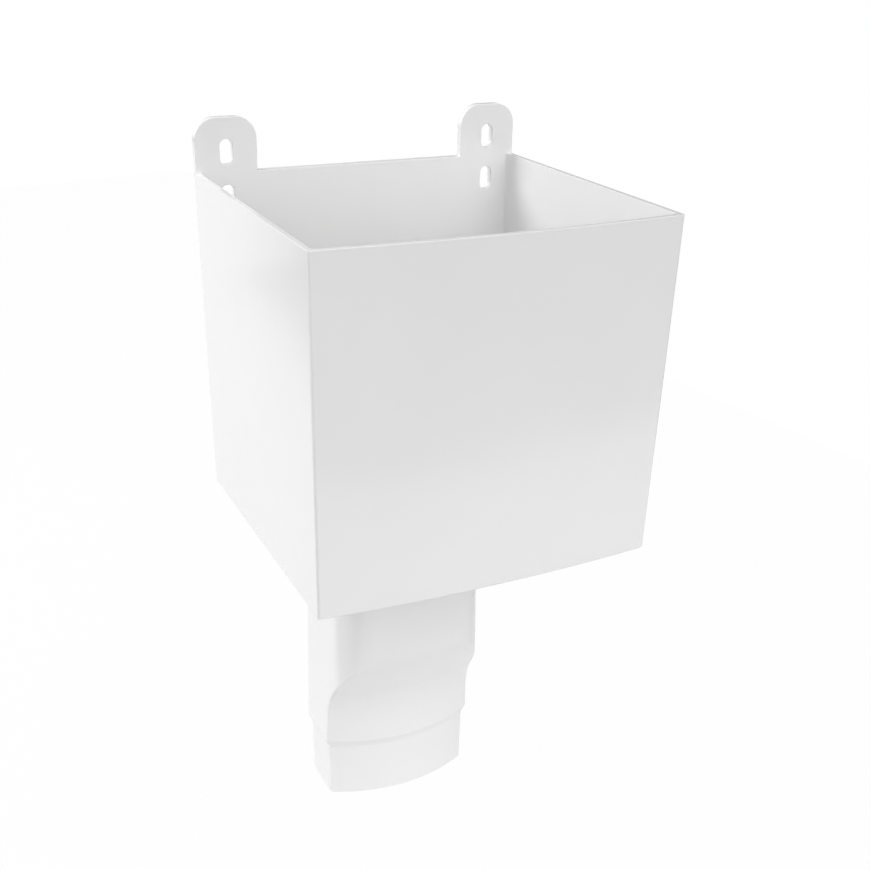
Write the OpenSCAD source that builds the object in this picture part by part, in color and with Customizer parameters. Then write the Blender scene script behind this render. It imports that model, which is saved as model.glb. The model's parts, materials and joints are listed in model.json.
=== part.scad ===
// Downpipe hopper head, moulded in one piece: an open box that collects water, two slotted ears that
// fix it to a wall, and an outlet whose spigot enters an ovoid downpipe.
// The origin is on the wall face, midway across the box and level with its rim. +Z is up, +X is to the
// right when facing the wall, and -Y points away from the wall.

/* [Box] */
// Width of the box across its rim, at the wall
box_w = 179.6; // [150:0.2:240]
// Depth of the box at the rim, from the wall face to the front corners
box_d = 166; // [130:1:220]
// Height of the box, from the rim to the underside
box_h = 171; // [120:1:230]
// Bow of the front wall, from its corners to its middle
front_bow = 4; // [1:0.5:12]
// How far each side wall spreads outward, from the wall face to the front
splay = 0.6; // [0:0.1:4]
// Inward lean of each side wall, from the rim to the underside
side_draft = 3.1; // [0:0.1:6]
// Inward lean of the front wall, from the rim to the underside
front_draft = 4; // [0:0.1:8]
// Radius of the upright front edges
edge_r = 1.4; // [0.6:0.1:6]
// Radius of the upright front corners inside the box
inner_edge_r = 1.2; // [0.6:0.1:6]
// Thickness of the side and front walls
wall = 2.8; // [2:0.1:4]
// Thickness of the back wall and the ears
back_t = 4.6; // [3:0.1:7]
// Thickness of the floor
floor_t = 3; // [2:0.1:6]

/* [Ears] */
// Width of each ear
ear_w = 32; // [24:1:44]
// Height of each ear above the rim
ear_h = 27.4; // [22:0.2:40]
// Radius of the upper corners of each ear
ear_r = 11; // [2:0.5:11.5]
// Width of each screw slot
slot_w = 6.8; // [4:0.2:9]
// Length of each screw slot, from end to end
slot_l = 12.8; // [10:0.2:18]
// Height of the upper slots' middle above the rim
slot_rise = 10.2; // [9:0.2:12]
// Distance between the middles of the two slots in an ear
slot_pitch = 22.9; // [20:0.1:40]

/* [Outlet] */
// Distance from the wall face to the middle of the outlet
outlet_y = 41; // [36:1:60]
// Width of the spigot that enters the downpipe
spigot_w = 86; // [76:1:100]
// Depth of the spigot, from its front to its back
spigot_d = 50; // [44:1:58]
// Radius of the bowed front and back of the spigot
spigot_r = 92.5; // [70:0.5:140]
// Radius of the upright edges of the spigot
spigot_edge_r = 2.5; // [0.5:0.5:6]
// Radius of the upright edges of the passage through the outlet
passage_edge_r = 1; // [0.5:0.5:3]
// Length of the spigot
spigot_l = 33; // [20:1:60]
// Inward lean of the spigot, from its top to its end
spigot_draft = 0.4; // [0:0.1:1]
// How far the skirt stands out from the spigot, as thick as a downpipe's wall
skirt_step = 2.1; // [1:0.1:4]
// Height of the sloping shoulder between the skirt and the spigot
shoulder_h = 5; // [2:0.5:10]
// Height of the skirt, from the shoulder to the scoop
skirt_l = 13; // [6:1:30]
// Radius of the hollow curve at the foot of the scoop
scoop_r = 41; // [30:1:60]
// Height of the scoop, from the skirt to the flat front of the neck
scoop_l = 51; // [44:1:80]
// Height of the neck, from the scoop to the underside of the box
neck_l = 86.5; // [40:0.5:140]
// Distance from the wall face to the flat front of the neck
neck_front = 83; // [78:0.5:95]
// Radius of the neck's upright front corners
neck_r = 20; // [8:0.5:28]
// Width of the neck where it leaves the box
neck_w = 83.8; // [76:0.2:100]

/* [Hidden] */

plastic = [0.93, 0.93, 0.92];

// Number of straight pieces round a small edge, along a bow, from the middle of the neck's side to the
// scoop, up the hollow of the scoop and up its ramp
edge_steps = 3;
bow_steps = 12;
side_steps = 9;
hollow_steps = 5;
ramp_steps = 3;
$fn = 64;

// How far a cutting shape runs past the face that it cuts
past = 1;
// Halvings in the search for the line where the scoop meets the neck
halvings = 30;

// Heights of the outlet's sections
outlet_top = -box_h;
scoop_top = outlet_top - neck_l;
scoop_foot = scoop_top - scoop_l;
skirt_foot = scoop_foot - skirt_l;
spigot_top = skirt_foot - shoulder_h;
spigot_foot = spigot_top - spigot_l;

// The skirt is the spigot's outline grown by the step
skirt_w = spigot_w + 2 * skirt_step;
skirt_r = spigot_r + skirt_step;
skirt_front = outlet_y + spigot_d / 2 + skirt_step;
skirt_bow_y = skirt_front - skirt_r;

// The scoop seen from the side: a hollow arc that leaves the skirt's corner upright, then a ramp
// tangent to it that ends at the flat front of the neck
skirt_corner_y = skirt_bow_y + sqrt(pow(skirt_r, 2) - pow(skirt_w / 2, 2));
scoop_reach = neck_front - skirt_corner_y;
ramp_slope = atan2(scoop_reach - scoop_r, scoop_l)
    + asin(scoop_r / norm([scoop_reach - scoop_r, scoop_l]));
hollow_l = scoop_r * sin(ramp_slope);
hollow_reach = scoop_r * (1 - cos(ramp_slope));
scoop_heights = concat(
    [for (i = [0 : hollow_steps]) scoop_foot + scoop_r * sin(ramp_slope * i / hollow_steps)],
    [for (i = [1 : ramp_steps]) scoop_foot + hollow_l + (scoop_l - hollow_l) * i / ramp_steps]
);

slot_x = (box_w - ear_w) / 2;
slot_heights = [slot_rise, slot_rise - slot_pitch];

// Points on an arc about a middle, from one angle to another
function arc(mid, r, from, to, steps) =
    [for (i = [0 : steps]) let (a = from + (to - from) * i / steps) mid + r * [cos(a), sin(a)]];

// A list without its first and last items
function inner(list) = [for (i = [1 : len(list) - 2]) list[i]];

// A list of points mirrored from left to right, in reverse order
function mirrored(points) = [for (i = [len(points) - 1 : -1 : 0]) [-points[i][0], points[i][1]]];

// An outline at a height
function at(z, outline) = [for (p = outline) [p[0], p[1], z]];

// Front of an outline: two straight sides, rounded edges, and a bow that reaches a distance from the wall
function bowed_end(w, reach, bow_r, r, steps) =
    let (
        bow_y = reach - bow_r,
        edge_x = w / 2 - r,
        edge_y = bow_y + sqrt(pow(bow_r - r, 2) - pow(edge_x, 2)),
        turn = atan2(edge_x, edge_y - bow_y),
        edge = arc([-edge_x, -edge_y], r, 180, 270 - turn, steps)
    )
    concat(edge, inner(arc([0, -bow_y], bow_r, 270 - turn, 270 + turn, bow_steps)), mirrored(edge));

// Width of the box's back and depth of the box at a height
function box_width(z) = box_w + 2 * side_draft * z / box_h;
function box_depth(z) = box_d + front_draft * z / box_h;

// Outline of the box, from a straight back, a distance from the wall, to a wider, bowed front
function box_outline(w, d, back, r) =
    let (
        back_x = w / 2 + splay * back / d,
        front_w = w + 2 * splay,
        bow_r = (pow(front_w, 2) / 4 + pow(front_bow, 2)) / (2 * front_bow)
    )
    concat([[back_x, -back], [-back_x, -back]], bowed_end(front_w, d + front_bow, bow_r, r, edge_steps));

// Width of the neck at a height: its sides spread evenly from the box to the skirt
function neck_width(z) = neck_w + (skirt_w - neck_w) * (outlet_top - z) / (outlet_top - skirt_foot);

// Point on the neck's outline, a distance along it from the middle of its left side: the straight side
// first, then the front corner. The outline is set in from the outside of the neck.
function neck_corner_l(inset) = (neck_r - inset) * PI / 2;
function neck_path_l(inset) = neck_front - neck_r - outlet_y + neck_corner_l(inset);
function neck_path(l, z, inset) =
    let (
        r = neck_r - inset,
        x = inset - neck_width(z) / 2,
        turn = max(0, l - neck_path_l(inset) + neck_corner_l(inset)) / r * 180 / PI
    )
    turn == 0
        ? [x, -outlet_y - l]
        : [x + r - r * cos(turn), neck_r - neck_front - r * sin(turn)];

// Share of the neck's flat front in the scoop's surface at a height: none at its foot, all at its top
function flat_share(z) =
    let (rise = max(0, z - scoop_foot))
    (rise < hollow_l
        ? scoop_r - sqrt(pow(scoop_r, 2) - pow(rise, 2))
        : hollow_reach + (rise - hollow_l) * tan(ramp_slope)) / scoop_reach;

// Point of the scoop's surface, blended from the skirt's bow to the neck's flat front
function scoop_point(x, z, inset) =
    let (share = min(1, flat_share(z)), bow = skirt_bow_y + sqrt(pow(skirt_r, 2) - pow(x, 2)))
    [x, inset - (1 - share) * bow - share * neck_front];

// Distance along the neck's outline to the line where the scoop cuts it
function scoop_edge(z, inset, from, to, left = halvings) =
    let (mid = (from + to) / 2, p = neck_path(mid, z, inset))
    left == 0 ? mid
        : p[1] > scoop_point(p[0], z, inset)[1] ? scoop_edge(z, inset, mid, to, left - 1)
        : scoop_edge(z, inset, from, mid, left - 1);

// Front of the neck's outline at a height, with the scoop cut from it
function neck_front_end(z, inset) =
    let (
        l = z < scoop_top ? scoop_edge(z, inset, 0, neck_path_l(inset)) : neck_path_l(inset),
        side = [for (i = [0 : side_steps]) neck_path(l * i / side_steps, z, inset)],
        x = side[side_steps][0],
        front = [for (i = [1 : bow_steps - 1]) scoop_point(x - 2 * x * i / bow_steps, z, inset)]
    )
    concat(side, front, mirrored(side));

// Front of the spigot's outline, with the middles of its sides
function spigot_front_end(w, reach, bow_r, r) =
    let (side = [[-w / 2, -outlet_y]])
    concat(side, bowed_end(w, reach, bow_r, r, side_steps - 1), mirrored(side));

// Bowed back of the outlet: a bowed front turned half round about the middle of the outlet
function outlet_back(w, reach, bow_r, r) =
    [for (p = bowed_end(w, reach, bow_r, r, edge_steps)) [-p[0], -2 * outlet_y - p[1]]];

// Outline of the neck at a height
function neck_ring(z, inset, r) =
    at(z, concat(
        neck_front_end(z, inset),
        outlet_back(neck_width(z) - 2 * inset, skirt_front - inset, skirt_r - inset, r)
    ));

// Outline of the spigot at a height
function spigot_ring(z, inset, r) =
    let (
        lean = inset + spigot_draft * (spigot_top - z) / spigot_l,
        w = spigot_w - 2 * lean,
        reach = outlet_y + spigot_d / 2 - lean
    )
    at(z, concat(
        spigot_front_end(w, reach, spigot_r - lean, r),
        outlet_back(w, reach, spigot_r - lean, r)
    ));

// Middle of a list of points
function middle(points) = [for (p = points) 1] * points / len(points);

// A solid through outlines of equal length, listed from the lowest to the highest
module loft(rings) {
    count = len(rings[0]);
    top = len(rings) - 1;
    foot_mid = (top + 1) * count;
    top_mid = foot_mid + 1;
    sides = [for (j = [0 : top - 1], i = [0 : count - 1])
        let (k = (i + 1) % count, low = j * count, high = low + count)
        each [[low + i, high + i, high + k], [low + i, high + k, low + k]]];
    caps = [for (i = [0 : count - 1])
        let (k = (i + 1) % count)
        each [[foot_mid, i, k], [top_mid, top * count + k, top * count + i]]];
    points = concat([for (ring = rings) each ring], [middle(rings[0]), middle(rings[top])]);
    polyhedron(points, concat(sides, caps));
}

// Solid form of the box
module box_form() {
    loft([for (z = [-box_h, 0]) at(z, box_outline(box_width(z), box_depth(z), 0, edge_r))]);
}

// Space inside the box
module box_inside() {
    loft([for (z = [floor_t - box_h, past])
        at(z, box_outline(box_width(z) - 2 * wall, box_depth(z) - wall, back_t, inner_edge_r))]);
}

// Solid form of the outlet, or of the passage through it when it is set in by the wall
module outlet_form(inset, r, top, foot) {
    loft(concat(
        [spigot_ring(foot, inset, r), spigot_ring(spigot_top, inset, r)],
        [for (z = concat([skirt_foot], scoop_heights, [top])) neck_ring(z, inset, r)]
    ));
}

// One ear with its lower edge on the rim, drawn in the plane of the wall
module ear_outline() {
    translate([-ear_w / 2, 0]) square([ear_w, ear_h - ear_r]);
    translate([ear_r - ear_w / 2, 0]) square([ear_w - 2 * ear_r, ear_h]);
    for (side = [-1, 1]) translate([side * (ear_w / 2 - ear_r), ear_h - ear_r]) circle(ear_r);
}

module slot_outline() {
    straight = slot_l - slot_w;
    square([slot_w, straight], center = true);
    for (end = [-1, 1]) translate([0, end * straight / 2]) circle(slot_w / 2);
}

module ears() {
    for (side = [-1, 1]) translate([side * slot_x, 0, 0])
        rotate([90, 0, 0]) linear_extrude(back_t) ear_outline();
}

module slots() {
    for (side = [-1, 1], z = slot_heights) translate([side * slot_x, past, z])
        rotate([90, 0, 0]) linear_extrude(back_t + 2 * past) slot_outline();
}

module hopper_head() {
    color(plastic) difference() {
        union() {
            difference() {
                box_form();
                box_inside();
            }
            ears();
            outlet_form(0, spigot_edge_r, outlet_top + floor_t / 2, spigot_foot);
        }
        outlet_form(wall, passage_edge_r, outlet_top + floor_t + past, spigot_foot - past);
        slots();
    }
}

hopper_head();
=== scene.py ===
"""A downpipe hopper head in white moulded plastic, with softly rounded edges, over a pale studio table."""

import json
from math import asin, atan2, cos, degrees, hypot, pi, radians, sin, sqrt, tan

import bmesh
import bpy
from mathutils import Matrix, Vector


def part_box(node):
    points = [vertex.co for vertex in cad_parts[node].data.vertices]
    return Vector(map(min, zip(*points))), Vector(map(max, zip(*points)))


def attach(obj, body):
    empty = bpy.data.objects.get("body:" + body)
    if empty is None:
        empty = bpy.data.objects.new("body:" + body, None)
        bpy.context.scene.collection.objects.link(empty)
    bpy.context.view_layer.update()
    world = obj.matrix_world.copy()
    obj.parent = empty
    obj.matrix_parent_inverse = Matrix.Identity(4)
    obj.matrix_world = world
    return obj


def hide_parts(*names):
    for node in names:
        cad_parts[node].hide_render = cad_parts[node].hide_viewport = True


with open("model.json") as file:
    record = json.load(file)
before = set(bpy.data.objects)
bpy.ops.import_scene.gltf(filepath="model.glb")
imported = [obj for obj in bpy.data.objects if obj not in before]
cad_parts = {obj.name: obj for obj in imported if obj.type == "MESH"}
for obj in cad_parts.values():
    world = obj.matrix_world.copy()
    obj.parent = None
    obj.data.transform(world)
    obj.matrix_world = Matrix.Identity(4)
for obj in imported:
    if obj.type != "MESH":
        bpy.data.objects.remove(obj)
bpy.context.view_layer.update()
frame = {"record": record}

MM = 0.001
NODE = "hopper_head"

# Sizes taken from the frame, in millimetres. The origin is on the wall face, level with the rim.
LOW, HIGH = [[v / MM for v in corner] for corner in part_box(NODE)]
MOUNTS = {mount["name"]: mount for mount in frame["record"]["mounts"]}
SLOTS = MOUNTS["right_slots"]
FRONT_W = HIGH[0] - LOW[0]
EAR_H = HIGH[2]
SPIGOT_FOOT = LOW[2]
OUTLET_Y = -MOUNTS["outlet_spigot"]["pos_m"][1] / MM
SLOT_X, SLOT_MID_Z = SLOTS["pos_m"][0] / MM, SLOTS["pos_m"][2] / MM
SLOT_PITCH = SLOTS["dims"]["spacing_y_mm"]
SLOT_W = 2 * SLOTS["dims"]["hole_r_mm"]
SLOT_L = SLOTS["dims"]["slot_length_mm"]
SPIGOT_L = MOUNTS["outlet_spigot"]["dims"]["length_mm"]

# Box
SPLAY = 0.6
BOX_W = FRONT_W - 2 * SPLAY
BOX_H = 171.0
FRONT_BOW = 4.0
BOX_D = -LOW[1] - FRONT_BOW
SIDE_DRAFT = 3.1
FRONT_DRAFT = 4.0
EDGE_R = 1.4
INNER_EDGE_R = 1.2
WALL = 2.8
BACK_T = 4.6
FLOOR_T = 3.0

# Ears
EAR_W = 2 * (BOX_W / 2 - SLOT_X)
EAR_R = 11.0

# Outlet
SPIGOT_W = 86.0
SPIGOT_D = 50.0
SPIGOT_R = 92.5
SPIGOT_EDGE_R = 2.5
PASSAGE_EDGE_R = 1.0
SPIGOT_DRAFT = 0.4
SKIRT_STEP = 2.1
SHOULDER_H = 5.0
SKIRT_L = 13.0
SCOOP_R = 41.0
SCOOP_L = 51.0
NECK_FRONT = 83.0
NECK_R = 20.0
NECK_W = 83.8

# Small roundings that the moulding leaves on its edges
RIM_R = 0.25
BACK_EDGE_R = 1.1
UNDER_R = 1.0
FLOOR_FILLET_R = 2.0
EAR_EDGE_R = 0.4
SLOT_EDGE_R = 0.3
CREASE_R = 1.0
SHOULDER_EASE = 0.9
NECK_FILLET_R = 1.5
MOUTH_R = 1.2
SPIGOT_END_R = 0.5

# Straight pieces round an edge, along a bow, along the neck's side, up the scoop's hollow and its ramp,
# and round an ear's corner or half of a slot's end
EDGE_STEPS = 6
BOW_STEPS = 40
SIDE_STEPS = 30
HOLLOW_STEPS = 14
RAMP_STEPS = 16
EAR_STEPS = 14

# Searches by halving: how many halvings, and the shares of the way out between which the crease lies
HALVINGS = 40
CREASE_SEARCH = 0.8, 1.02

# Joining: how far a cutter goes past a face, how far an ear's foot keeps inside the back wall, how many
# crease radii the close rings go on above the scoop, and the distance at which points become one
PAST = 2.0
EAR_FOOT_INSET = 0.01
ABOVE_SCOOP = 3
WELD = 0.002

# Shading: the turn from which an edge stays sharp, and the weight of large faces in the normals
SHARP = radians(32)
LARGE_FACES = 100

# Heights of the outlet's sections
SPIGOT_TOP = SPIGOT_FOOT + SPIGOT_L
SKIRT_FOOT = SPIGOT_TOP + SHOULDER_H
SCOOP_FOOT = SKIRT_FOOT + SKIRT_L
SCOOP_TOP = SCOOP_FOOT + SCOOP_L
OUTLET_TOP = -BOX_H
FLOOR_TOP = FLOOR_T - BOX_H

# The skirt is the spigot's outline grown by the step
SKIRT_W = SPIGOT_W + 2 * SKIRT_STEP
SKIRT_R = SPIGOT_R + SKIRT_STEP
SKIRT_FRONT = OUTLET_Y + SPIGOT_D / 2 + SKIRT_STEP
SKIRT_BOW_Y = SKIRT_FRONT - SKIRT_R

# The scoop seen from the side: a hollow arc, then a ramp tangent to it
SCOOP_REACH = NECK_FRONT - SKIRT_BOW_Y - sqrt(SKIRT_R**2 - (SKIRT_W / 2) ** 2)
RAMP = atan2(SCOOP_REACH - SCOOP_R, SCOOP_L) + asin(SCOOP_R / hypot(SCOOP_REACH - SCOOP_R, SCOOP_L))
HOLLOW_L = SCOOP_R * sin(RAMP)
HOLLOW_REACH = SCOOP_R * (1 - cos(RAMP))

# Plastic: the whites and the roughness that it varies between, and each noise's scale per metre and detail
DIM_WHITE, CLEAR_WHITE = (0.812, 0.815, 0.817, 1), (0.862, 0.862, 0.857, 1)
SMOOTHEST, ROUGHEST = 0.08, 0.19
PLASTIC_IOR = 1.53
CLOUD_NOISE = 14.0, 3.0
WAVE_NOISE = 22.0, 1.0
GRAIN_NOISE = 900.0, 2.0
WAVE_STRENGTH, WAVE_DEPTH = 0.25, 0.0004
GRAIN_STRENGTH, GRAIN_DEPTH = 0.12, 0.00006

# Sockets by which a Mix node takes two colours and gives one
COLOUR_A, COLOUR_B, COLOUR_OUT = 6, 7, 2

# Table and card, in metres: their colours, the share of plain white where they are seen, the table's
# distance below the spigot, opposite corners, the table's turn and the card's distance behind the wall
WHITE = (1, 1, 1, 1)
TABLE_COLOUR = (0.82, 0.82, 0.82, 1)
WHITE_SHARE = 0.95
TABLE_DROP = 0.14
TABLE = (-0.36, -0.9), (0.9, 2.4)
TABLE_TURN = radians(8)
CARD = (-0.63, 0.0), (-0.3, 0.25)
CARD_Y = 1.5

# World: the panels' directions and levels, and the cosine at which a panel ends
PANELS = [
    ((-0.3, -0.65, 0.7), 1.29),
    ((0.34, -0.74, 0.58), 0.83),
    ((-0.4, 0.9, 0.0), 0.66),
    ((-0.5, 0.6, -0.6), 0.72),
]
PANEL_EDGE = 0.35

# Rise of the directions between which a reflection goes from panels to backdrop and from that to dark
BACKDROP_TOP = 0.1, 0.04
BACKDROP_FOOT = -0.02, -0.12

# Key light, in metres and watts
MIDDLE = Vector((0, -0.08, -0.1))
KEY_SIDE = Vector((-0.754, 0.43, 0.51)).normalized()
KEY_REACH, KEY_SIZE, KEY_POWER = 1.8, 0.7, 16.4

# Camera, as fitted to the photograph
AZIMUTH, ELEVATION, ROLL = radians(26.061), radians(22.937), radians(1.235)
SENSOR, LENS = 36, 51.474
EYE = Vector((-253.35, -616.69, 124.63)) * MM


def steps(start, stop, count):
    """Evenly spaced numbers, both ends included."""
    return [start + (stop - start) * i / count for i in range(count + 1)]


def arc(mid, r, start, stop, count):
    """Points on an arc about a middle, from one angle to another in degrees."""
    return [(mid[0] + r * cos(radians(a)), mid[1] + r * sin(radians(a))) for a in steps(start, stop, count)]


def mirrored(points):
    """Points mirrored from left to right, in reverse order."""
    return [(-x, y) for x, y in reversed(points)]


def at(z, outline):
    """A level outline at a height."""
    return [Vector((x, y, z)) for x, y in outline]


def rounding(r):
    """Pairs of distance from a face and inset from the side, up a rounded edge that starts on the face."""
    return [(r * (1 - cos(radians(a))), r * (1 - sin(radians(a)))) for a in steps(0, 90, EDGE_STEPS)]


def bowed_end(w, reach, bow_r, r, edge_steps=EDGE_STEPS):
    """Front of an outline: rounded edges, and between them a bow that reaches a distance from the wall."""
    bow_y = reach - bow_r
    edge_x = w / 2 - r
    edge_y = bow_y + sqrt((bow_r - r) ** 2 - edge_x**2)
    turn = degrees(atan2(edge_x, edge_y - bow_y))
    edge = arc((-edge_x, -edge_y), r, 180, 270 - turn, edge_steps)
    bow = arc((0, -bow_y), bow_r, 270 - turn, 270 + turn, BOW_STEPS)
    return edge + bow[1:-1] + mirrored(edge)


# Box


def box_outline(z, inset, back, edge_r, back_r):
    """Outline of the box at a height, set in from its outside, from its back edges to a wider bowed front."""
    w = BOX_W + 2 * SIDE_DRAFT * z / BOX_H - 2 * inset
    d = BOX_D + FRONT_DRAFT * z / BOX_H - inset
    back_x = w / 2 + SPLAY * back / d - back_r
    front_w = w + 2 * SPLAY
    bow_r = (front_w**2 / 4 + FRONT_BOW**2) / (2 * FRONT_BOW)
    edge = arc((back_x, -back - back_r), back_r, 0, 90, EDGE_STEPS)
    return at(z, edge + mirrored(edge) + bowed_end(front_w, d + FRONT_BOW, bow_r, edge_r))


def box_form():
    """Rings of the box's outside, with rounded lower and upper edges."""
    levels = [(rise - BOX_H, inset) for rise, inset in rounding(UNDER_R)]
    levels += [(-drop, inset) for drop, inset in reversed(rounding(RIM_R))]
    return [box_outline(z, inset, inset, EDGE_R - inset, BACK_EDGE_R - inset) for z, inset in levels]


def box_inside():
    """Rings of the space in the box, with a rounded floor and an opened rim."""
    levels = [(FLOOR_TOP + rise, inset) for rise, inset in rounding(FLOOR_FILLET_R)]
    levels += [(-drop, -inset) for drop, inset in reversed(rounding(RIM_R))]
    levels += [(PAST, -RIM_R)]
    edge_r = INNER_EDGE_R + RIM_R
    return [box_outline(z, WALL + inset, BACK_T + inset, edge_r, edge_r) for z, inset in levels]


# Ears and slots, as rings from the wall face to the front


def upright(y, outline):
    """An upright outline at a depth."""
    return [Vector((x, y, z)) for x, z in outline]


def ear_outline(mid, inset):
    """Outline of an ear, from a foot that is sunk in the back wall."""
    half, sunk = EAR_W / 2 - inset, 2 * RIM_R
    foot = half - SIDE_DRAFT * sunk / BOX_H - EAR_FOOT_INSET
    corner = (EAR_W / 2 - EAR_R, EAR_H - EAR_R)
    right = [(foot, -sunk), (half, 0)] + arc(corner, EAR_R - inset, 0, 90, EAR_STEPS)
    return [(mid + x, z) for x, z in right + mirrored(right)]


def ear_form(mid):
    """Rings of an ear with both its faces' edges rounded."""
    edge = rounding(EAR_EDGE_R)
    levels = [(-depth, inset) for depth, inset in edge]
    levels += [(depth - BACK_T, inset) for depth, inset in reversed(edge)]
    return [upright(y, ear_outline(mid, inset)) for y, inset in levels]


def slot_outline(mid, grow):
    """Outline of an upright slot with round ends."""
    x, z = mid
    rise, r = (SLOT_L - SLOT_W) / 2, SLOT_W / 2 + grow
    ends = arc((0, rise), r, 0, 180, 2 * EAR_STEPS) + arc((0, -rise), r, 180, 360, 2 * EAR_STEPS)
    return [(x + dx, z + dz) for dx, dz in ends]


def slot_form(mid):
    """Rings of a slot that opens a little at both faces."""
    edge = rounding(SLOT_EDGE_R)
    levels = [(PAST, SLOT_EDGE_R)] + [(-depth, grow) for depth, grow in edge]
    levels += [(depth - BACK_T, grow) for depth, grow in reversed(edge)] + [(-BACK_T - PAST, SLOT_EDGE_R)]
    return [upright(y, slot_outline(mid, grow)) for y, grow in levels]


# Outlet


def neck_width(z):
    """The neck's sides spread evenly from the box to the skirt."""
    return NECK_W + (SKIRT_W - NECK_W) * (OUTLET_TOP - z) / (OUTLET_TOP - SKIRT_FOOT)


def neck_corner_length(inset):
    """Length of the neck's outline round a front corner."""
    return (NECK_R - inset) * pi / 2


def neck_length(inset):
    """Length of the neck's outline from the middle of its left side to the end of the front corner."""
    return NECK_FRONT - NECK_R - OUTLET_Y + neck_corner_length(inset)


def neck_path(length, z, inset):
    """Point on the neck's outline, a distance along it from the middle of its left side."""
    r, x = NECK_R - inset, inset - neck_width(z) / 2
    turn = max(0, length - neck_length(inset) + neck_corner_length(inset)) / r
    if turn == 0:
        return x, -OUTLET_Y - length
    return x + r - r * cos(turn), NECK_R - NECK_FRONT - r * sin(turn)


def flat_share(z):
    """Share of the neck's flat front in the scoop's surface: none at its foot, all at its top."""
    rise = max(0, z - SCOOP_FOOT)
    if rise < HOLLOW_L:
        return (SCOOP_R - sqrt(SCOOP_R**2 - rise**2)) / SCOOP_REACH
    return (HOLLOW_REACH + (rise - HOLLOW_L) * tan(RAMP)) / SCOOP_REACH


def scoop_y(x, inset, share):
    """Depth of the scoop's surface, blended from the skirt's bow to the neck's flat front."""
    bow = SKIRT_BOW_Y + sqrt(SKIRT_R**2 - x**2)
    return inset - (1 - share) * bow - share * NECK_FRONT


def scoop_edge(z, inset):
    """Distance along the neck's outline to the line where the scoop cuts it, found by halving."""
    low, high = 0, neck_length(inset)
    share = min(1, flat_share(z))
    for _ in range(HALVINGS):
        mid = (low + high) / 2
        x, y = neck_path(mid, z, inset)
        low, high = (mid, high) if y > scoop_y(x, inset, share) else (low, mid)
    return low


def neck_depth(x, y, z, inset):
    """Distance of a point outside the neck's front, negative inside it."""
    past_x = abs(x) - (neck_width(z) / 2 - NECK_R)
    past_y = -y - (NECK_FRONT - NECK_R)
    outside = hypot(max(past_x, 0), max(past_y, 0)) + min(max(past_x, past_y), 0)
    return outside - NECK_R + inset


def softened(point, z, inset, r):
    """A point of the sharp outline drawn in to where the neck and the scoop meet in a rounded crease."""
    middle = Vector((0, -OUTLET_Y))
    ray = Vector(point) - middle

    def depth(share_of_ray):
        x, y = middle + ray * share_of_ray
        neck = neck_depth(x, y, z, inset)
        scoop = (scoop_y(x, inset, flat_share(z)) - y) * cos(RAMP)
        return min(-r, max(neck, scoop)) + hypot(max(r + neck, 0), max(r + scoop, 0))

    low, high = CREASE_SEARCH
    for _ in range(HALVINGS):
        mid = (low + high) / 2
        low, high = (mid, high) if depth(mid) < 0 else (low, mid)
    return tuple(middle + ray * low)


def neck_ring(z, inset, edge_r):
    """Outline of the neck at a height, with the scoop cut from its front and the crease rounded."""
    length = scoop_edge(z, inset) if z < SCOOP_TOP else neck_length(inset)
    side = [neck_path(length * sin(i / SIDE_STEPS * pi / 2), z, inset) for i in range(SIDE_STEPS + 1)]
    x = side[-1][0]
    share = min(1, flat_share(z))
    front = [(-x * cos(a), scoop_y(x * cos(a), inset, share)) for a in steps(pi, 0, BOW_STEPS)][1:-1]
    outline = side[:1] + [softened(p, z, inset, CREASE_R) for p in side[1:] + front + mirrored(side[1:])]
    back = bowed_end(neck_width(z) - 2 * inset, SKIRT_FRONT - inset, SKIRT_R - inset, edge_r)
    return at(z, outline + mirrored(side[:1]) + turned(back))


def spigot_ring(z, inset, edge_r):
    """Outline of the spigot at a height, with as many points as the neck's."""
    lean = inset + SPIGOT_DRAFT * (SPIGOT_TOP - z) / SPIGOT_L
    size = (SPIGOT_W - 2 * lean, OUTLET_Y + SPIGOT_D / 2 - lean, SPIGOT_R - lean, edge_r)
    side = [(-size[0] / 2, -OUTLET_Y)]
    front = bowed_end(*size, edge_steps=SIDE_STEPS - 1)
    return at(z, side + front + mirrored(side) + turned(bowed_end(*size)))


def turned(front):
    """A front outline turned half round about the middle of the outlet."""
    return [(-x, -2 * OUTLET_Y - y) for x, y in front]


def eased(rings, i, reach):
    """Rings with the sharp turn at one of them replaced by a small curve."""
    def part_way(ring, towards):
        return [p.lerp(q, reach / abs(q.z - p.z)) for p, q in zip(ring, towards)]

    corner = rings[i]
    below, above = part_way(corner, rings[i - 1]), part_way(corner, rings[i + 1])
    curve = [
        [a * (1 - t) ** 2 + b * 2 * t * (1 - t) + c * t**2 for a, b, c in zip(below, corner, above)]
        for t in steps(0, 1, EDGE_STEPS)
    ]
    return rings[:i] + curve + rings[i + 1:]


def outlet_rings(inset, edge_r):
    """Rings of the outlet from the foot of the skirt to the plain part of the neck."""
    hollow = [SCOOP_FOOT + SCOOP_R * sin(RAMP * t) for t in steps(0, 1, HOLLOW_STEPS)]
    ramp_l = SCOOP_L - HOLLOW_L
    ramp = [SCOOP_TOP - ramp_l * (1 - t) ** 2 for t in steps(0, 1, RAMP_STEPS)][1:]
    above = [SCOOP_TOP + CREASE_R * ABOVE_SCOOP * t for t in steps(0, 1, EDGE_STEPS)][1:]
    heights = [SKIRT_FOOT] + hollow + ramp + above
    return [neck_ring(z, inset, edge_r) for z in heights]


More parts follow.
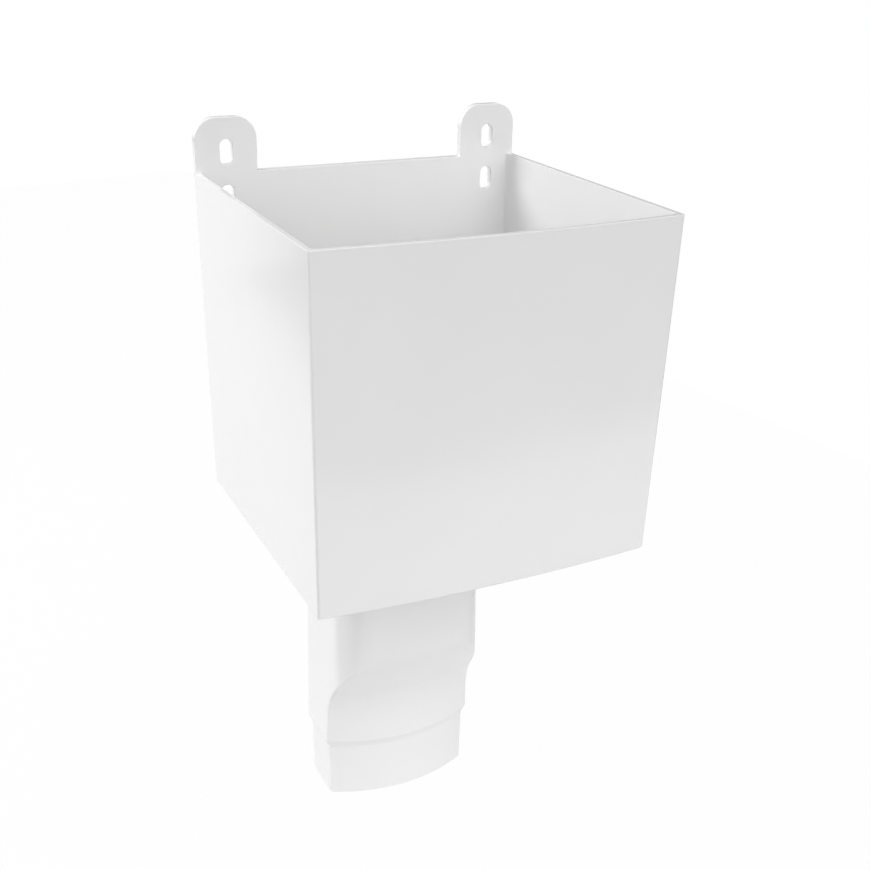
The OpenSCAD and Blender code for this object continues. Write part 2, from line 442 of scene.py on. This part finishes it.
def outlet_form():
    """Rings of the outlet's outside, from a rounded end to a fillet under the box."""
    spigot = [
        spigot_ring(SPIGOT_FOOT + rise, inset, SPIGOT_EDGE_R - inset)
        for rise, inset in rounding(SPIGOT_END_R)
    ]
    rings = spigot + [spigot_ring(SPIGOT_TOP, 0, SPIGOT_EDGE_R)] + outlet_rings(0, SPIGOT_EDGE_R)
    rings = eased(rings, len(spigot) + 1, SHOULDER_EASE)
    rings = eased(rings, len(spigot), SHOULDER_EASE)
    fillet = [(OUTLET_TOP - drop, -grow) for drop, grow in reversed(rounding(NECK_FILLET_R))]
    fillet += [(OUTLET_TOP + FLOOR_T / 2, -NECK_FILLET_R)]
    return rings + [neck_ring(z, inset, SPIGOT_EDGE_R) for z, inset in fillet]


def passage_form():
    """Rings of the passage through the outlet, opened a little at its mouth and at its end."""
    end = [(SPIGOT_FOOT - PAST, -SPIGOT_END_R)]
    end += [(SPIGOT_FOOT + rise, -grow) for rise, grow in rounding(SPIGOT_END_R)] + [(SPIGOT_TOP, 0)]
    rings = [spigot_ring(z, WALL + inset, PASSAGE_EDGE_R) for z, inset in end]
    rings += outlet_rings(WALL, PASSAGE_EDGE_R)
    mouth = [(FLOOR_TOP - drop, -grow) for drop, grow in reversed(rounding(MOUTH_R))]
    mouth += [(FLOOR_TOP + PAST, -MOUTH_R)]
    return rings + [neck_ring(z, WALL + inset, PASSAGE_EDGE_R) for z, inset in mouth]


# Meshes


def loft(name, rings):
    """A closed solid through rings of equal length, as an object in metres."""
    count, last = len(rings[0]), len(rings) - 1
    faces = [
        (j * count + i, j * count + (i + 1) % count, (j + 1) * count + (i + 1) % count, (j + 1) * count + i)
        for j in range(last)
        for i in range(count)
    ]
    faces += [tuple(range(count)), tuple(range(last * count, last * count + count))]
    mesh = bpy.data.meshes.new(name)
    mesh.from_pydata([p * MM for ring in rings for p in ring], [], faces)
    bm = bmesh.new()
    bm.from_mesh(mesh)
    bmesh.ops.recalc_face_normals(bm, faces=bm.faces)
    bm.to_mesh(mesh)
    bm.free()
    solid = bpy.data.objects.new(name, mesh)
    bpy.context.scene.collection.objects.link(solid)
    return solid


def combine(solid, operation, tools):
    """Joins solids to one, or cuts them from it."""
    for tool in tools:
        modifier = solid.modifiers.new("combine", "BOOLEAN")
        modifier.operation, modifier.solver, modifier.object = operation, "EXACT", tool
    depsgraph = bpy.context.evaluated_depsgraph_get()
    mesh = bpy.data.meshes.new_from_object(solid.evaluated_get(depsgraph))
    solid.modifiers.clear()
    solid.data = mesh
    for tool in tools:
        bpy.data.objects.remove(tool)


def hopper_mesh():
    """The moulding as one closed mesh."""
    body = loft("moulded_hopper", box_form())
    combine(body, "DIFFERENCE", [loft("inside", box_inside())])
    combine(body, "UNION", [loft("ear", ear_form(side * SLOT_X)) for side in (-1, 1)])
    combine(body, "UNION", [loft("outlet", outlet_form())])
    slots = [
        loft("slot", slot_form((side * SLOT_X, SLOT_MID_Z + end * SLOT_PITCH / 2)))
        for side in (-1, 1)
        for end in (-1, 1)
    ]
    combine(body, "DIFFERENCE", slots + [loft("passage", passage_form())])
    bm = bmesh.new()
    bm.from_mesh(body.data)
    bmesh.ops.remove_doubles(bm, verts=bm.verts, dist=WELD * MM)
    bm.to_mesh(body.data)
    bm.free()
    for face in body.data.polygons:
        face.use_smooth = True
    body.data.set_sharp_from_angle(angle=SHARP)
    flats = body.modifiers.new("flat faces stay flat", "WEIGHTED_NORMAL")
    flats.mode, flats.weight, flats.keep_sharp = "FACE_AREA", LARGE_FACES, True
    return body


# Materials


def nodes_of(owner):
    """Clears the node tree of a material or world, and gives the function that adds a node to it."""
    owner.use_nodes = True
    tree = owner.node_tree
    tree.nodes.clear()

    def add(kind, inputs=None, **settings):
        node = tree.nodes.new(kind)
        for key, value in settings.items():
            setattr(node, key, value)
        for key, value in (inputs or {}).items():
            if isinstance(value, bpy.types.NodeSocket):
                tree.links.new(value, node.inputs[key])
            else:
                node.inputs[key].default_value = value
        return node

    return add


def reckoned(add, operation, first, second):
    """The result of a sum on two values."""
    return add("ShaderNodeMath", {0: first, 1: second}, operation=operation).outputs[0]


def plastic_material():
    """White moulded plastic: a soft gloss that varies a little, a fine grain and a slight waviness."""
    material = bpy.data.materials.new("white_moulded_plastic")
    add = nodes_of(material)
    place = add("ShaderNodeTexCoord").outputs["Object"]

    def noise(scale, detail):
        return add("ShaderNodeTexNoise", {"Vector": place, "Scale": scale, "Detail": detail}).outputs["Fac"]

    cloud, wave, grain = noise(*CLOUD_NOISE), noise(*WAVE_NOISE), noise(*GRAIN_NOISE)
    whites = {"Factor": cloud, COLOUR_A: DIM_WHITE, COLOUR_B: CLEAR_WHITE}
    tone = add("ShaderNodeMix", whites, data_type="RGBA").outputs[COLOUR_OUT]
    gloss = add("ShaderNodeMapRange", {"Value": cloud, "To Min": SMOOTHEST, "To Max": ROUGHEST})
    waviness = add("ShaderNodeBump", {"Height": wave, "Strength": WAVE_STRENGTH, "Distance": WAVE_DEPTH})
    texture = add(
        "ShaderNodeBump",
        {
            "Height": grain,
            "Strength": GRAIN_STRENGTH,
            "Distance": GRAIN_DEPTH,
            "Normal": waviness.outputs["Normal"],
        },
    )
    shader = add(
        "ShaderNodeBsdfPrincipled",
        {
            "Base Color": tone,
            "Roughness": gloss.outputs["Result"],
            "IOR": PLASTIC_IOR,
            "Normal": texture.outputs["Normal"],
        },
    )
    add("ShaderNodeOutputMaterial", {"Surface": shader.outputs["BSDF"]})
    return material


# Studio


def largest(add, first, second, third):
    """The largest of three values."""
    return reckoned(add, "MAXIMUM", first, reckoned(add, "MAXIMUM", second, third))


def studio_world():
    """Broad soft panels of light over a white backdrop, with a dark studio below it to reflections."""
    world = bpy.data.worlds.new("studio")
    bpy.context.scene.world = world
    add = nodes_of(world)
    direction = add("ShaderNodeTexCoord").outputs["Generated"]
    light = 0.0
    for axis, level in PANELS:
        facing = add(
            "ShaderNodeVectorMath", {0: direction, 1: Vector(axis).normalized()}, operation="DOT_PRODUCT"
        )
        panel = add(
            "ShaderNodeMapRange",
            {"Value": facing.outputs["Value"], "From Min": PANEL_EDGE, "To Max": level},
            interpolation_type="SMOOTHSTEP",
        )
        light = reckoned(add, "ADD", panel.outputs["Result"], light)
    height = add("ShaderNodeSeparateXYZ", {"Vector": direction}).outputs["Z"]
    rays = add("ShaderNodeLightPath").outputs

    def reflected_below(top, foot):
        """One for reflections that look lower than an edge, and none for other rays."""
        low = add("ShaderNodeMapRange", {"Value": height, "From Min": top, "From Max": foot})
        return reckoned(add, "MULTIPLY", low.outputs["Result"], rays["Is Glossy Ray"])

    seen = largest(add, rays["Is Camera Ray"], reflected_below(*BACKDROP_TOP), rays["Is Transmission Ray"])
    backdrop = reckoned(add, "SUBTRACT", 1.0, reflected_below(*BACKDROP_FOOT))
    strength = add("ShaderNodeMix", {"Factor": seen, "A": light, "B": backdrop})
    background = add("ShaderNodeBackground", {"Color": WHITE, "Strength": strength.outputs["Result"]})
    add("ShaderNodeOutputWorld", {"Surface": background.outputs["Background"]})


def pale_material():
    """A matte pale surface that is nearly white where it is seen, and keeps a faint shadow."""
    material = bpy.data.materials.new("pale_floor")
    add = nodes_of(material)
    matte = add("ShaderNodeBsdfDiffuse", {"Color": TABLE_COLOUR})
    white = add("ShaderNodeEmission", {"Color": WHITE, "Strength": 1.0})
    rays = add("ShaderNodeLightPath").outputs
    seen = largest(add, rays["Is Camera Ray"], rays["Is Glossy Ray"], rays["Is Transmission Ray"])
    share = reckoned(add, "MULTIPLY", seen, WHITE_SHARE)
    mixed = add("ShaderNodeMixShader", {0: share, 1: matte.outputs["BSDF"], 2: white.outputs["Emission"]})
    add("ShaderNodeOutputMaterial", {"Surface": mixed.outputs["Shader"]})
    return material


def flat_piece(name, corners, material):
    """A piece of one face with four corners."""
    mesh = bpy.data.meshes.new(name)
    mesh.from_pydata(corners, [], [(0, 1, 2, 3)])
    mesh.materials.append(material)
    piece = bpy.data.objects.new(name, mesh)
    bpy.context.scene.collection.objects.link(piece)
    return piece


def floor(height, material):
    """The table below the part, turned a little."""
    (left, front), (right, back) = TABLE
    corners = [(left, front, 0), (right, front, 0), (right, back, 0), (left, back, 0)]
    piece = flat_piece("floor", corners, material)
    piece.location.z = height
    piece.rotation_euler.z = TABLE_TURN


def card(height, material):
    """A card behind the left of the table, hidden from the camera, which shows in the left wall's gloss."""
    (left, low), (right, high) = CARD
    corners = [(left, 0, low), (right, 0, low), (right, 0, high), (left, 0, high)]
    piece = flat_piece("card", corners, material)
    piece.location = (0, CARD_Y, height)
    piece.visible_camera = False


def key_light():
    """A round softbox to the left and behind, which throws the ear's shadow on the far wall."""
    light = bpy.data.lights.new("key", "AREA")
    light.shape, light.size, light.energy = "DISK", KEY_SIZE, KEY_POWER
    lamp = bpy.data.objects.new("key", light)
    lamp.location = MIDDLE + KEY_SIDE * KEY_REACH
    lamp.rotation_euler = (-KEY_SIDE).to_track_quat("-Z", "Y").to_euler()
    bpy.context.scene.collection.objects.link(lamp)


def camera():
    """The camera, placed and turned as the photographer's was."""
    ahead = Vector((sin(AZIMUTH) * cos(ELEVATION), cos(AZIMUTH) * cos(ELEVATION), -sin(ELEVATION)))
    level = Vector((cos(AZIMUTH), -sin(AZIMUTH), 0))
    upward = level.cross(ahead)
    right = level * cos(ROLL) + upward * sin(ROLL)
    up = upward * cos(ROLL) - level * sin(ROLL)
    lens = bpy.data.cameras.new("camera")
    lens.sensor_width, lens.lens = SENSOR, LENS
    piece = bpy.data.objects.new("camera", lens)
    turn = Matrix((right, up, -ahead)).transposed()
    piece.matrix_world = Matrix.Translation(EYE) @ turn.to_4x4()
    bpy.context.scene.collection.objects.link(piece)
    bpy.context.scene.camera = piece


camera()
hopper = hopper_mesh()
hopper.data.materials.append(plastic_material())
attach(hopper, "root")
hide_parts(NODE)

studio_world()
pale = pale_material()
table_height = SPIGOT_FOOT * MM - TABLE_DROP
floor(table_height, pale)
card(table_height, pale)
key_light()

bpy.context.scene.view_settings.view_transform = "Standard"
